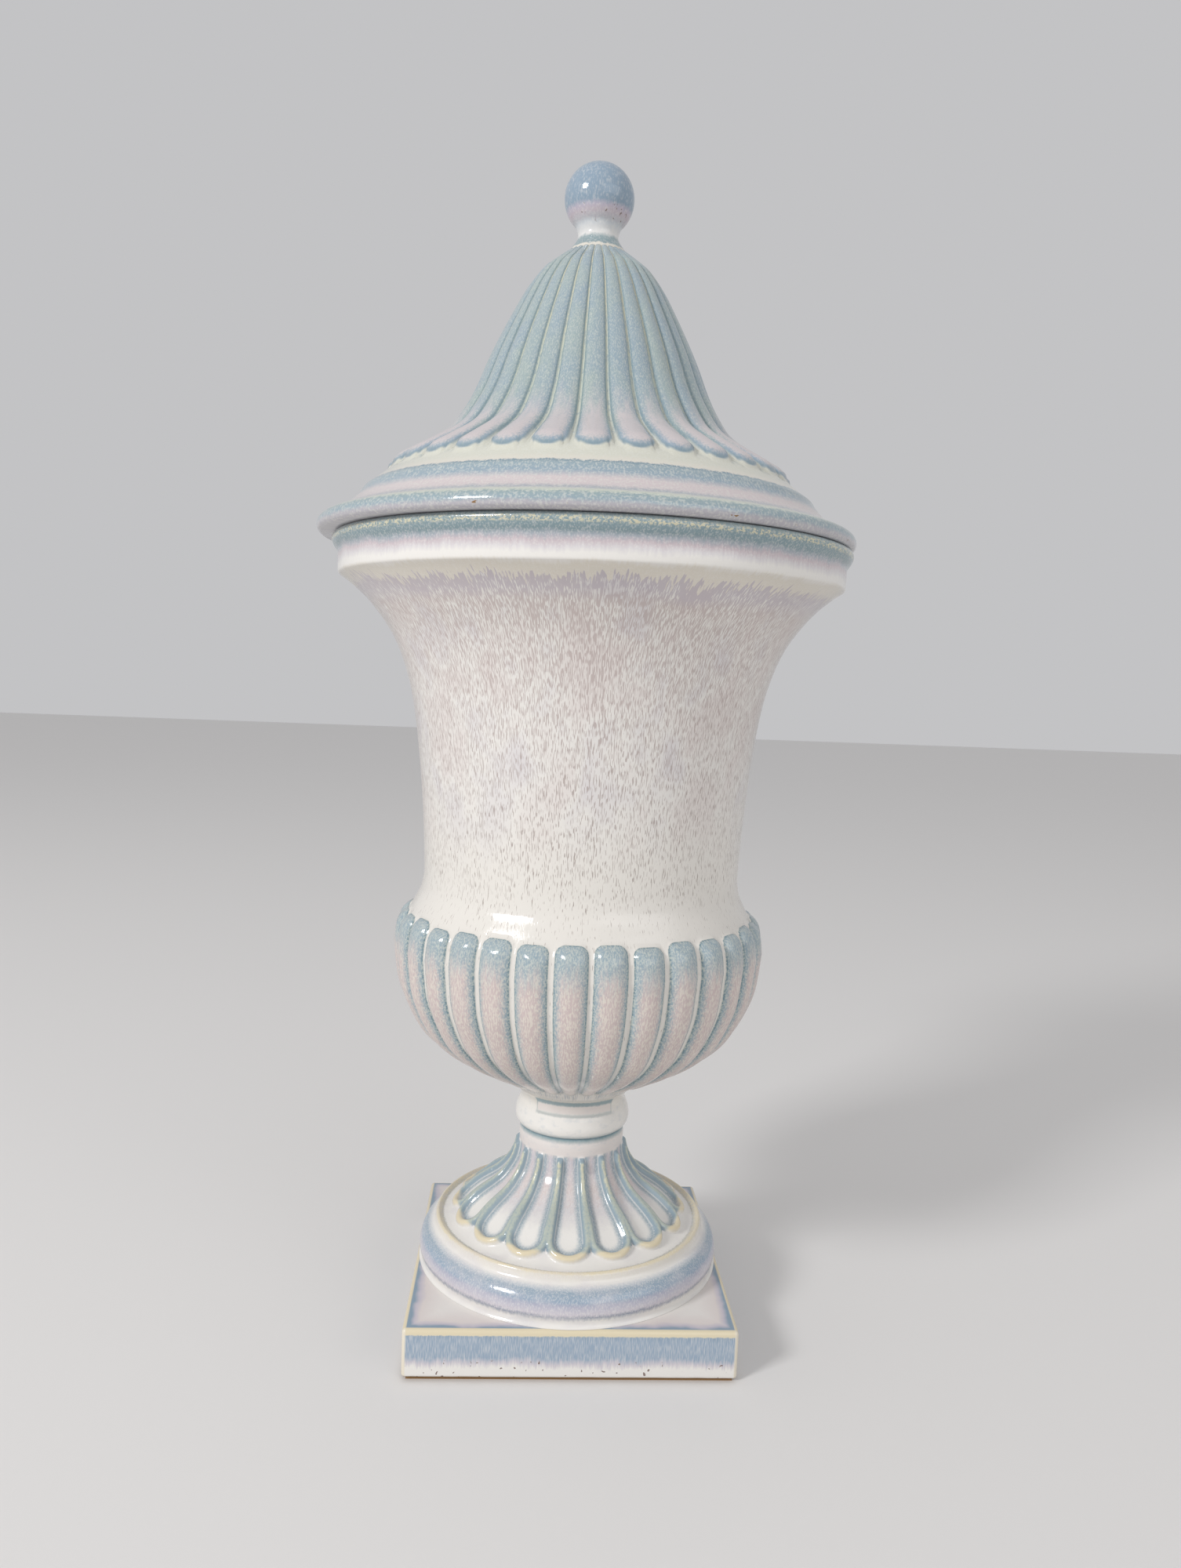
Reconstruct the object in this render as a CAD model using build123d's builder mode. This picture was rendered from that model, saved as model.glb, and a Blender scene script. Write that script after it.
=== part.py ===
from build123d import *
from math import acos, degrees, pi
import os

os.makedirs("parts", exist_ok=True)

# A lidded campana urn in glazed earthenware. Heights rise from the surface it stands on,
# and the front of the plinth faces -Y. Every piece is turned about the upright axis.
front = -90.0

# Plinth: a square block, open and hollow underneath
plinth_side = 135.0
plinth_height = 21.5
plinth_corner = 2.5
plinth_edge = 1.2
plinth_wall = 10.0
plinth_deck = 8.0
clay_line = 1.3
clay_inset = 0.7

# Pedestal: torus, ridge ring, petalled bell, collar and short neck
pedestal_height = 78.5
foot_r = 67.0
foot_fillet = 2.2
torus_r = 66.8
torus_height = 13.4
torus_draw = 6.0
ridge_r = 58.7
ridge_width = 2.6
ridge_height = 2.4
band_rise = 3.0
bell_r = 49.0
bell_shoulder_r = 33.3
bell_shoulder_rise = 14.4
bell_stem_r = 24.7
bell_stem_rise = 26.9
bell_waist_r = 23.5
bell_height = 38.6
collar_height = 12.7
collar_swell = 2.0
neck_r = 23.4
pedestal_top_r = 26.0
pedestal_wall = 8.0
pedestal_roof = 7.0

# Petals: scalloped rims standing out round the skirt, with hollowed tongues above them
petal_count = 16
petal_turn = -2.0
scallop_width_share = 0.94
scallop_reach = 6.5
scallop_crest = 2.6
scallop_edge = 2.4
scallop_slope = 1.2
tongue_width_share = 0.66
tongue_depth = 1.7
tongue_start_share = 0.115
tongue_end_share = 0.75
bell_end_share = 0.82

# Tablet: a plain raised panel on the front of the neck
tablet_height = 6.2
tablet_angle = 84.0
tablet_r = 24.7
tablet_drop = 1.4

# Body: gadrooned bowl, plain shoulder, flared neck and moulded rim
body_height = 237.3
bowl_base_r = 30.2
bowl_base_z = 5.2
bowl_low_r = 52.6
bowl_low_z = 16.4
bowl_side_r = 67.2
bowl_side_z = 29.5
bowl_r = 78.3
bowl_mid = 65.6
shoulder_r = 73.4
shoulder_z = 81.6
waist_r = 68.9
waist_z = 95.5
neck_mid_r = 72.2
neck_mid_z = 145.5
flare_r = 84.0
flare_z = 195.5
rim_band_r = 108.0
rim_band_height = 9.4
rim_roll_r = 110.6
rim_roll_height = 7.4
rim_roll = 2.6
rim_bevel = 1.2
mouth_r = 98.0
body_wall = 6.5
bowl_foot_step = 1.0
floor_flat_r = 20.0
floor_depth = 58.5

# Gadroons: convex lobes from the shoulder down to the foot of the bowl
lobe_count = 32
lobe_turn = -4.4
lobe_width_share = 0.84
lobe_height_share = 0.13
lobe_top_share = 0.42
lobe_round_share = 0.05
lobe_lip = 0.2

# Lid: rolled edge, cavetto, lip, reeded ogee dome and a locating flange
lid_height = 122.1
lid_shift = -2.8
lid_edge_r = 114.2
lid_edge_height = 7.0
lid_edge_under = 1.8
lid_edge_swell_z = 2.8
lid_ridge_r = 109.4
lid_lip_r = 95.8
lid_lip_z = 18.2
lid_lip_edge = 0.9
cavetto_sag = 2.2
reed_foot_r = 86.0
reed_foot_z = 26.0
dome_low_r = 57.4
dome_low_z = 46.5
dome_high_r = 31.8
dome_high_z = 99.0
crown_r = 13.0
lid_wall = 6.0
lid_crown = 9.0
flange_play = 5.0
flange_depth = 9.0
flange_wall = 5.5

# Reeds: convex ribs that widen down the dome
reed_count = 32
reed_turn = -1.7
reed_width_share = 0.80
reed_height_share = 0.12
reed_round_share = 0.02

# Finial: a ball on a drawn-in neck
finial_base_r = 12.4
finial_base_height = 1.8
finial_neck_r = 8.6
finial_neck_z = 8.2
ball_r = 14.8
ball_z = 23.2
ball_foot_r = 9.6

# Straight stretches that a profile curve or the round of a lobe is turned in
long_curve = 8
bowl_curve = 6
short_curve = 4
lobe_chords = 4

# Where each piece stands on the one below
plinth_top = plinth_height
pedestal_top = plinth_top + pedestal_height
seat = pedestal_top + body_height
lid_top = seat + lid_height


def piece_plane(height, shift=0.0, angle=0.0):
    """Upright drawing plane through the turning axis: x is the radius, y the height above."""
    out = Vector(1, 0).rotate(Axis.Z, angle)
    return Plane(origin=(shift, 0, height), x_dir=out, z_dir=out.cross(Vector(0, 0, 1)))


def stretches(curve, count):
    """Draws a profile curve in straight stretches, which turn into plain cones."""
    Polyline(*[curve @ (index / count) for index in range(count + 1)])


def lobed_outline(count, turn, radius, width_share, bulge):
    """Closed outline of lobes, bulging out or hollowed in, with a flat fillet between each two."""
    step = 360 / count
    points = []
    for index in range(count):
        for chord in range(lobe_chords + 1):
            across = 2 * chord / lobe_chords - 1
            angle = front + turn + (index + across * width_share / 2) * step
            points.append(Vector(radius + bulge * (1 - across**2), 0).rotate(Axis.Z, angle))
    Polyline(*points, close=True)


# Plinth
vent_r = bell_r - pedestal_wall
with BuildPart() as plinth:
    with BuildSketch():
        RectangleRounded(plinth_side - 2 * clay_inset, plinth_side - 2 * clay_inset, plinth_corner)
    extrude(amount=clay_line)
    with BuildSketch(Plane.XY.offset(clay_line)):
        RectangleRounded(plinth_side, plinth_side, plinth_corner)
    extrude(amount=plinth_height - clay_line)
    chamfer(plinth.faces().sort_by(Axis.Z)[-1].edges(), plinth_edge)
    with BuildSketch():
        Rectangle(plinth_side - 2 * plinth_wall, plinth_side - 2 * plinth_wall)
    extrude(amount=plinth_height - plinth_deck, mode=Mode.SUBTRACT)
    with BuildSketch():
        Circle(vent_r)
    extrude(amount=plinth_height, mode=Mode.SUBTRACT)
plinth.part.label = "plinth"
export_step(plinth.part, "parts/plinth.step")

# Pedestal profile, from the plinth up
torus_top = foot_fillet + torus_height
ridge_outer = ridge_r + ridge_width / 2
ridge_inner = ridge_r - ridge_width / 2
band_z = torus_top + band_rise
bell_foot = band_z + scallop_edge + scallop_slope
bell_top = bell_foot + bell_height
collar_top = bell_top + collar_height
with BuildLine():
    bell = Spline(
        (bell_r, bell_foot),
        (bell_shoulder_r, bell_foot + bell_shoulder_rise),
        (bell_stem_r, bell_foot + bell_stem_rise),
        (bell_waist_r, bell_top),
        tangents=[(-0.9, 0.44), (0, 1)],
    )
bell_end = bell @ bell_end_share

# Rings of the petals up the bell: where each lies, how wide its lobes are and how far they bulge
petal_rings = [
    (Vector(bell_r, band_z), scallop_width_share, scallop_reach),
    (Vector(bell_r, band_z + scallop_edge), scallop_width_share, scallop_reach),
    (bell @ 0, scallop_width_share, scallop_crest),
    (bell @ tongue_start_share, tongue_width_share, -tongue_depth),
    (bell @ ((tongue_start_share + tongue_end_share) / 2), tongue_width_share, -tongue_depth),
    (bell @ tongue_end_share, tongue_width_share, -tongue_depth),
    (bell_end, tongue_width_share, 0.0),
]

with BuildPart() as pedestal:
    with BuildSketch(piece_plane(plinth_top)):
        with BuildLine():
            Line((0, 0), (foot_r, 0))
            Line((foot_r, 0), (torus_r - foot_fillet / 2, foot_fillet))
            torus = ThreePointArc(
                (torus_r - foot_fillet / 2, foot_fillet),
                (torus_r, foot_fillet + torus_height / 3),
                (torus_r - torus_draw, torus_top),
                mode=Mode.PRIVATE,
            )
            stretches(torus, short_curve)
            Line((torus_r - torus_draw, torus_top), (ridge_outer, band_z))
            ridge = ThreePointArc(
                (ridge_outer, band_z), (ridge_r, band_z + ridge_height), (ridge_inner, band_z), mode=Mode.PRIVATE
            )
            stretches(ridge, short_curve)
            Line((ridge_inner, band_z), (0, band_z))
            Line((0, band_z), (0, 0))
        make_face()
    revolve(axis=Axis.Z)
    for point, width_share, bulge in petal_rings:
        with BuildSketch(Plane.XY.offset(plinth_top + point.Y)):
            with BuildLine():
                lobed_outline(petal_count, petal_turn, point.X, width_share, bulge)
            make_face()
    loft(ruled=True)
    with BuildSketch(piece_plane(plinth_top)):
        with BuildLine():
            Line((0, bell_end.Y), (bell_end.X + lobe_lip, bell_end.Y))
            Line((bell_end.X + lobe_lip, bell_end.Y), (bell_waist_r, bell_top))
            collar = ThreePointArc(
                (bell_waist_r, bell_top),
                (bell_waist_r + collar_swell, bell_top + collar_height / 2),
                (neck_r, collar_top),
                mode=Mode.PRIVATE,
            )
            stretches(collar, short_curve)
            neck = Spline(
                (neck_r, collar_top),
                (pedestal_top_r, pedestal_height),
                tangents=[(0, 1), (0.7, 0.7)],
                mode=Mode.PRIVATE,
            )
            stretches(neck, short_curve)
            Line((pedestal_top_r, pedestal_height), (0, pedestal_height))
            Line((0, pedestal_height), (0, bell_end.Y))
        make_face()
    revolve(axis=Axis.Z)
    with BuildSketch(piece_plane(plinth_top, angle=front - tablet_angle / 2)):
        with BuildLine():
            tablet_top = pedestal_height - tablet_drop
            Polyline(
                (bell_end.X - tablet_height, tablet_top - tablet_height),
                (tablet_r, tablet_top - tablet_height),
                (tablet_r, tablet_top),
                (bell_end.X - tablet_height, tablet_top),
                close=True,
            )
        make_face()
    revolve(axis=Axis.Z, revolution_arc=tablet_angle)
    with BuildSketch(piece_plane(plinth_top)):
        with BuildLine():
            hollow_r = bell_waist_r - pedestal_wall
            hollow_top = pedestal_height - pedestal_roof
            hollow_narrow = bell_foot + bell_stem_rise
            Line((0, 0), (vent_r, 0))
            Line((vent_r, 0), (vent_r, torus_top))
            Line((vent_r, torus_top), (hollow_r, hollow_narrow))
            Line((hollow_r, hollow_narrow), (hollow_r, hollow_top))
            Line((hollow_r, hollow_top), (0, hollow_top))
            Line((0, hollow_top), (0, 0))
        make_face()
    revolve(axis=Axis.Z, mode=Mode.SUBTRACT)
pedestal.part.label = "pedestal"
export_step(pedestal.part, "parts/pedestal.step")

# Body profile, from the top of the pedestal up
rim_foot = body_height - rim_roll_height - rim_band_height
rim_cove = rim_foot + rim_band_height
roll_z = body_height - rim_roll
with BuildLine():
    bowl = Spline(
        (bowl_base_r, bowl_base_z),
        (bowl_low_r, bowl_low_z),
        (bowl_side_r, bowl_side_z),
        (bowl_r, bowl_mid),
        tangents=[(0.94, 0.33), (0, 1)],
    )
with BuildLine():
    shoulder = Spline(
        (bowl_r, bowl_mid), (shoulder_r, shoulder_z), (waist_r, waist_z), tangents=[(0, 1), (0, 1)]
    )
lobe_end = shoulder @ lobe_top_share

# Rings of the gadroons: even steps up the bowl, then the rounded ends of the lobes on the shoulder
lobe_rings = [(bowl @ (step / bowl_curve), 1.0) for step in range(bowl_curve + 1)]
lobe_rings += [(shoulder @ (lobe_top_share / 2), 1.0)]
lobe_rings += [(shoulder @ (lobe_top_share - lobe_round_share), 1.0)]
lobe_rings += [(lobe_end, 0.0)]

with BuildPart() as urn_body:
    for point, fullness in lobe_rings:
        bulge = fullness * lobe_height_share * 2 * pi * point.X / lobe_count
        with BuildSketch(Plane.XY.offset(pedestal_top + point.Y)):
            with BuildLine():
                lobed_outline(lobe_count, lobe_turn, point.X, lobe_width_share, bulge)
            make_face()
    loft(ruled=True)
    with BuildSketch(piece_plane(pedestal_top)):
        Polygon(
            (0, 0),
            (pedestal_top_r, 0),
            (bowl_base_r + bowl_foot_step, bowl_base_z),
            (0, bowl_base_z),
            align=None,
        )
    revolve(axis=Axis.Z)
    with BuildSketch(piece_plane(pedestal_top)):
        with BuildLine():
            Line((0, lobe_end.Y), (lobe_end.X + lobe_lip, lobe_end.Y))
            above = Spline(
                (lobe_end.X + lobe_lip, lobe_end.Y),
                (waist_r, waist_z),
                tangents=[shoulder % lobe_top_share, (0, 1)],
                mode=Mode.PRIVATE,
            )
            stretches(above, short_curve)
            neck = Spline(
                (waist_r, waist_z),
                (neck_mid_r, neck_mid_z),
                (flare_r, flare_z),
                (rim_band_r - rim_bevel, rim_foot),
                tangents=[(0, 1), (0.8, 0.6)],
                mode=Mode.PRIVATE,
            )
            stretches(neck, long_curve)
            Line((rim_band_r - rim_bevel, rim_foot), (rim_band_r, rim_foot + rim_bevel))
            Line((rim_band_r, rim_foot + rim_bevel), (rim_band_r, rim_cove))
            Line((rim_band_r, rim_cove), (rim_roll_r, roll_z))
            roll = RadiusArc(
                (rim_roll_r, roll_z), (rim_roll_r - rim_roll, body_height), -rim_roll, mode=Mode.PRIVATE
            )
            stretches(roll, short_curve)
            Line((rim_roll_r - rim_roll, body_height), (0, body_height))
            Line((0, body_height), (0, lobe_end.Y))
        make_face()
    revolve(axis=Axis.Z)
    with BuildSketch(piece_plane(pedestal_top)):
        with BuildLine():
            inner_bowl_r = bowl_r - body_wall
            floor_sweep = degrees(acos(floor_flat_r / inner_bowl_r))
            floor = EllipticalCenterArc(
                (0, bowl_mid),
                inner_bowl_r,
                floor_depth,
                start_angle=-floor_sweep,
                arc_size=floor_sweep,
                mode=Mode.PRIVATE,
            )
            Line((0, (floor @ 0).Y), floor @ 0)
            stretches(floor, short_curve)
            inside = Spline(
                floor @ 1,
                (waist_r - body_wall, waist_z),
                (neck_mid_r - body_wall, neck_mid_z),
                (flare_r - body_wall, flare_z),
                (mouth_r, rim_foot),
                tangents=[(0, 1), (0.6, 0.8)],
                mode=Mode.PRIVATE,
            )
            stretches(inside, long_curve)
            Line((mouth_r, rim_foot), (mouth_r, body_height))
            Line((mouth_r, body_height), (0, body_height))
            Line((0, body_height), (0, (floor @ 0).Y))
        make_face()
    revolve(axis=Axis.Z, mode=Mode.SUBTRACT)
urn_body.part.label = "urn_body"
export_step(urn_body.part, "parts/urn_body.step")

# Lid profile, from the seat up
lid_axis = Axis((lid_shift, 0, 0), (0, 0, 1))
with BuildLine():
    ogee = Spline(
        (reed_foot_r, reed_foot_z),
        (dome_low_r, dome_low_z),
        (dome_high_r, dome_high_z),
        (crown_r, lid_height),
        tangents=[(-0.8, 0.6), (-0.8, 0.6)],
    )

# Rings of the reeds: they end square above the lip and run up under the finial
reed_rings = [(ogee @ 0, 0.0), (ogee @ reed_round_share, 1.0)]
reed_rings += [(ogee @ (step / long_curve), 1.0) for step in range(1, long_curve + 1)]

with BuildPart() as lid:
    with BuildSketch(piece_plane(seat, lid_shift)):
        with BuildLine():
            flange_r = mouth_r - flange_play
            Line((0, -flange_depth), (flange_r, -flange_depth))
            Line((flange_r, -flange_depth), (flange_r, 0))
            Line((flange_r, 0), (lid_edge_r - lid_edge_under, 0))
            edge = ThreePointArc(
                (lid_edge_r - lid_edge_under, 0),
                (lid_edge_r, lid_edge_swell_z),
                (lid_ridge_r, lid_edge_height),
                mode=Mode.PRIVATE,
            )
            stretches(edge, short_curve)
            cavetto = SagittaArc(
                (lid_ridge_r, lid_edge_height), (lid_lip_r, lid_lip_z), -cavetto_sag, mode=Mode.PRIVATE
            )
            stretches(cavetto, short_curve)
            lip_top = (lid_lip_r - lid_lip_edge / 2, lid_lip_z + lid_lip_edge)
            Line((lid_lip_r, lid_lip_z), lip_top)
            Line(lip_top, (reed_foot_r + lobe_lip, reed_foot_z))
            Line((reed_foot_r + lobe_lip, reed_foot_z), (0, reed_foot_z))
            Line((0, reed_foot_z), (0, -flange_depth))
        make_face()
    revolve(axis=lid_axis)
    for point, fullness in reed_rings:
        bulge = fullness * reed_height_share * 2 * pi * point.X / reed_count
        with BuildSketch(Plane(origin=(lid_shift, 0, seat + point.Y))):
            with BuildLine():
                lobed_outline(reed_count, reed_turn, point.X, reed_width_share, bulge)
            make_face()
    loft(ruled=True)
    with BuildSketch(piece_plane(seat, lid_shift)):
        with BuildLine():
            inner_r = flange_r - flange_wall
            crown_under = lid_height - lid_crown
            Line((0, -flange_depth), (inner_r, -flange_depth))
            Line((inner_r, -flange_depth), (inner_r, lid_edge_height))
            dome_inside = Spline(
                (inner_r, lid_edge_height),
                (dome_low_r - lid_wall, dome_low_z),
                (dome_high_r - lid_wall, dome_high_z),
                (crown_r - lid_wall, crown_under),
                tangents=[(-0.2, 1), (-1, 1)],
                mode=Mode.PRIVATE,
            )
            stretches(dome_inside, long_curve)
            Line((crown_r - lid_wall, crown_under), (0, crown_under))
            Line((0, crown_under), (0, -flange_depth))
        make_face()
    revolve(axis=lid_axis, mode=Mode.SUBTRACT)
lid.part.label = "lid"
export_step(lid.part, "parts/lid.step")

# Finial
with BuildPart() as finial:
    with BuildSketch(piece_plane(lid_top, lid_shift)):
        with BuildLine():
            ball_foot_z = ball_z - (ball_r**2 - ball_foot_r**2) ** 0.5
            Line((0, 0), (finial_base_r, 0))
            Line((finial_base_r, 0), (finial_base_r, finial_base_height))
            drawn_neck = Spline(
                (finial_base_r, finial_base_height),
                (finial_neck_r, finial_neck_z),
                (ball_foot_r, ball_foot_z),
                tangents=[(-0.7, 0.7), (0.6, 0.8)],
                mode=Mode.PRIVATE,
            )
            stretches(drawn_neck, short_curve)
            ThreePointArc((ball_foot_r, ball_foot_z), (ball_r, ball_z), (0, ball_z + ball_r))
            Line((0, ball_z + ball_r), (0, 0))
        make_face()
    revolve(axis=lid_axis)
finial.part.label = "finial"
export_step(finial.part, "parts/finial.step")
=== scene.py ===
import math

import bpy
import numpy as np
from mathutils import Matrix, Vector


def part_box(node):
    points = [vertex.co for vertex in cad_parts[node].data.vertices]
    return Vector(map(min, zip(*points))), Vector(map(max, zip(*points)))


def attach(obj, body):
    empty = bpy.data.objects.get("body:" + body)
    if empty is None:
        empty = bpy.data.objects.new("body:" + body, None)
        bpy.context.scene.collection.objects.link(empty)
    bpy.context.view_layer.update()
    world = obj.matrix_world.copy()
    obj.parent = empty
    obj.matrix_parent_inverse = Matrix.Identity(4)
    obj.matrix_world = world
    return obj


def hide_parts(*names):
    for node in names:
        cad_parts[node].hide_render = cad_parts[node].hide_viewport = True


bl_info = {
    "name": "Lidded campana urn",
    "version": (1, 0, 0),
    "blender": (4, 5, 0),
    "location": "View3D > Sidebar > Urn",
    "description": "Builds a glazed earthenware urn with a gadrooned bowl, a petalled foot and a reeded lid",
    "category": "Object",
}

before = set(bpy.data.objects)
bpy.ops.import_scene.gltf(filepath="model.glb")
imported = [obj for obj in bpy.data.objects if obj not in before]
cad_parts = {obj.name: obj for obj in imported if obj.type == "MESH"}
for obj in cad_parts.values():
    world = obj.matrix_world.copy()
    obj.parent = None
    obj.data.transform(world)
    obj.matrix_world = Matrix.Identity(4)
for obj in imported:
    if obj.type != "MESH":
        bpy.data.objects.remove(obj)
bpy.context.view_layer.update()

MM = 0.001
FRONT = -90.0

# Columns round each turned piece, a multiple of what repeats round it
PEDESTAL_COLUMNS = 384
BODY_COLUMNS = 576
LID_COLUMNS = 768
KNOB_COLUMNS = 96

# Radii in millimetres: the bowl at its widest, the reeds' feet, and the skins as the glaze unrolls them
BOWL_RADIUS = 78.3
REED_FOOT = 86.0
BODY_GIRTH = 80.0
LID_GIRTH = 60.0

# Relief: fineness of its weights, fullness of the lobes, rounding of their ends as a share of half their
# width, and what handwork varies, as a share of the width and as millimetres of height
RELIEF_LEVELS = 500
LOBE_FULLNESS = 1.4
LOBE_CORNER = 0.6
HAND_WIDTH = 0.02
HAND_HEIGHT = 0.7

# What the glaze reads where there is no relief, in millimetres outside it
OFF_SKIN = -5.0
OFF_REED = -20.0

# In millimetres: how near a vertex is to a profile that it lies on, how far past the profile's ends it may
# be, and the radius given to a vertex on the axis, so that nothing is divided by nought
SKIN_REACH = 1.5
END_REACH = 0.01
AXIS_RADIUS = 1e-6

MERGE_REACH = 0.002 * MM
FLOOR_SIDE = 12.0
LAMP_SPREAD = math.radians(140)
FILM_LENGTH = 36.0
NEAREST_SEEN = 0.01

# The nodes that the glazes use most, and the setting that softens both ends of a range
RANGE = "ShaderNodeMapRange"
MATH = "ShaderNodeMath"
VECTOR_MATH = "ShaderNodeVectorMath"
ATTRIBUTE = "ShaderNodeAttribute"
STEP = {"interpolation_type": "SMOOTHSTEP"}

PLINTH_LOW, PLINTH_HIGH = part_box("plinth")
PEDESTAL_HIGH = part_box("pedestal")[1]
BODY_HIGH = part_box("urn_body")[1]
LID_LOW, LID_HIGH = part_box("lid")
LID_SHIFT = (LID_LOW.x + LID_HIGH.x) / 2 / MM
KNOB_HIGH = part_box("finial")[1]


def linear(hex_colour):
    """Linear colour of an sRGB hex value, as the shader needs it."""
    channels = [int(hex_colour[at:at + 2], 16) / 255 for at in (1, 3, 5)]
    return (*[c / 12.92 if c <= 0.04045 else ((c + 0.055) / 1.055) ** 2.4 for c in channels], 1.0)


def colour_of(name, description, hex_colour):
    """Colour property with an sRGB hex value as its default."""
    return bpy.props.FloatVectorProperty(
        name=name, description=description, default=linear(hex_colour),
        subtype="COLOR", size=4, min=0.0, max=1.0)


def length_of(name, description, size):
    """Length property with a default in millimetres."""
    return bpy.props.FloatProperty(name=name, description=description, default=size * MM, unit="LENGTH")


def angle_of(name, description, degrees):
    """Angle property with a default in degrees."""
    return bpy.props.FloatProperty(
        name=name, description=description, default=math.radians(degrees), subtype="ANGLE")


def share_of(name, description, share, most=1.0):
    """Property for the share of a pitch that something takes."""
    return bpy.props.FloatProperty(
        name=name, description=description, default=share, min=0.3, max=most, subtype="FACTOR")


def place_of(name, description, place):
    """Property for a place in metres."""
    return bpy.props.FloatVectorProperty(
        name=name, description=description, default=place, size=3, subtype="TRANSLATION")


class UrnSizes(bpy.types.PropertyGroup):
    """Sizes of the turned pieces and of their relief"""

    plinth_side: bpy.props.FloatProperty(
        name="Plinth side", description="Width of the square plinth",
        default=PLINTH_HIGH.x - PLINTH_LOW.x, unit="LENGTH")
    plinth_arris: length_of("Plinth arris", "Rounding of the plinth's edges", 1.6)
    clay_line: length_of("Clay line", "Height of the bare clay at the foot", 1.3)
    lobes: bpy.props.IntProperty(
        name="Gadroons", description="Lobes round the bowl", default=32, min=8)
    lobe_turn: angle_of("Gadroon turn", "Turn of the lobes from the front", -4.4)
    lobe_top: length_of("Gadroon top", "Height at which the lobes end", 179.4)
    lobe_share: share_of("Gadroon width", "Share of the pitch that a lobe takes", 0.88)
    lobe_height: length_of("Gadroon height", "How far a lobe stands out at its widest", 3.0)
    reeds: bpy.props.IntProperty(
        name="Reeds", description="Reeds down the lid", default=32, min=8)
    reed_turn: angle_of("Reed turn", "Turn of the reeds from the front", -1.7)
    reed_share: share_of("Reed width", "Share of the pitch that a reed takes", 0.9)
    reed_height: length_of("Reed height", "How far a reed stands out at its foot", 3.4)
    petals: bpy.props.IntProperty(
        name="Petals", description="Hollowed petals round the foot", default=16, min=4)
    petal_turn: angle_of("Petal turn", "Turn of the petals from the front", -2.0)
    tongue_share: share_of("Tongue width", "Share of the pitch that a hollow takes", 0.68, most=0.9)
    rib_height: length_of("Rib height", "How far the ribs between the petals stand out", 2.2)
    tongue_depth: length_of("Tongue depth", "How far the petals are hollowed", 0.8)
    tablet_angle: angle_of("Tablet angle", "Half the angle that the plain tablet spans", 42.0)
    ball: length_of("Ball", "Radius of the ball of the finial", 14.8)


class UrnStage(bpy.types.PropertyGroup):
    """Floor, light and camera"""

    floor: colour_of("Floor", "Plain pale floor", "#e4e2e0")
    sky: colour_of("Sky", "Soft light from all round", "#e6e6e8")
    sky_strength: bpy.props.FloatProperty(
        name="Sky strength", description="Strength of the light from all round", default=0.69, min=0.0)
    key_place: place_of("Window place", "Where the window light hangs", (-1.9, -1.5, 1.5))
    key_power: bpy.props.FloatProperty(
        name="Window power", description="Power of the window light", default=24.0, unit="POWER")
    fill_place: place_of("Fill place", "Where the fill light hangs", (1.3, -1.7, 1.1))
    fill_power: bpy.props.FloatProperty(
        name="Fill power", description="Power of the fill light", default=5.6, unit="POWER")
    camera_place: place_of("Camera place", "Where the camera stands", (-23.97 * MM, -502.8 * MM, 278.8 * MM))
    heading: angle_of("Heading", "Turn of the view from +Y towards +X", 3.04)
    tilt: angle_of("Tilt", "How far the camera looks down", 4.98)
    roll: angle_of("Roll", "How far the camera leans", -2.174)
    lens: bpy.props.FloatProperty(
        name="Lens", description="Focal length over a 36 mm long side", default=26.27, unit="CAMERA")


class UrnGlaze(bpy.types.PropertyGroup):
    """Colours of the glaze where it lies thick, runs thin or breaks over an edge"""

    cream: colour_of("Cream", "Thick opaque glaze on flats and in hollows", "#dcd6ca")
    white: colour_of("White", "Thickest runs of the glaze", "#e6e3de")
    blue: colour_of("Blue", "Glaze that has run thin over a rounding", "#94a5b7")
    teal: colour_of("Teal", "Thin glaze towards the lid and the tops of the lobes", "#94a5a8")
    ink: colour_of("Ink", "Line where thick and thin glaze meet", "#66828d")
    pink: colour_of("Pink", "Warm ground under a thin coat", "#cdbdbb")
    lavender: colour_of("Lavender", "Cool ground under a thin coat", "#b8b1bf")
    yellow: colour_of("Yellow", "Glaze that breaks over a sharp arris", "#dccda6")
    moss: colour_of("Moss", "Pale greenish glaze pooled between the reeds", "#c6ccbe")
    brown: colour_of("Brown", "Ground that shows through the runs", "#85766f")
    clay: colour_of("Clay", "Bare fired clay at the foot", "#8a6a44")


def add(tree, kind, inputs=None, stops=None, **settings):
    """Adds a node with its settings, its colour stops and its links or values."""
    made = tree.nodes.new(kind)
    for key, value in settings.items():
        setattr(made, key, value)
    if stops:
        ramp = made.color_ramp.elements
        while len(ramp) < len(stops):
            ramp.new(1.0)
        for element, (place, colour) in zip(ramp, stops):
            element.position = place
            element.color = (colour, colour, colour, 1.0) if isinstance(colour, float) else colour
    for socket, value in (inputs or {}).items():
        if isinstance(value, bpy.types.NodeSocket):
            tree.links.new(value, made.inputs[socket])
        else:
            made.inputs[socket].default_value = value
    return made


def smooth(points, steps):
    """Rows of a smooth profile through points of radius and height, in millimetres."""
    rows = [points[0]]
    ends = [points[0]] + list(points) + [points[-1]]
    for before, start, end, after in zip(ends, ends[1:], ends[2:], ends[3:]):
        for step in range(1, steps + 1):
            t = step / steps
            rows.append(tuple(
                0.5 * (2 * b + (c - a) * t + (2 * a - 5 * b + 4 * c - d) * t * t
                       + (3 * b - a - 3 * c + d) * t ** 3)
                for a, b, c, d in zip(before, start, end, after)))
    return rows


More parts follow.
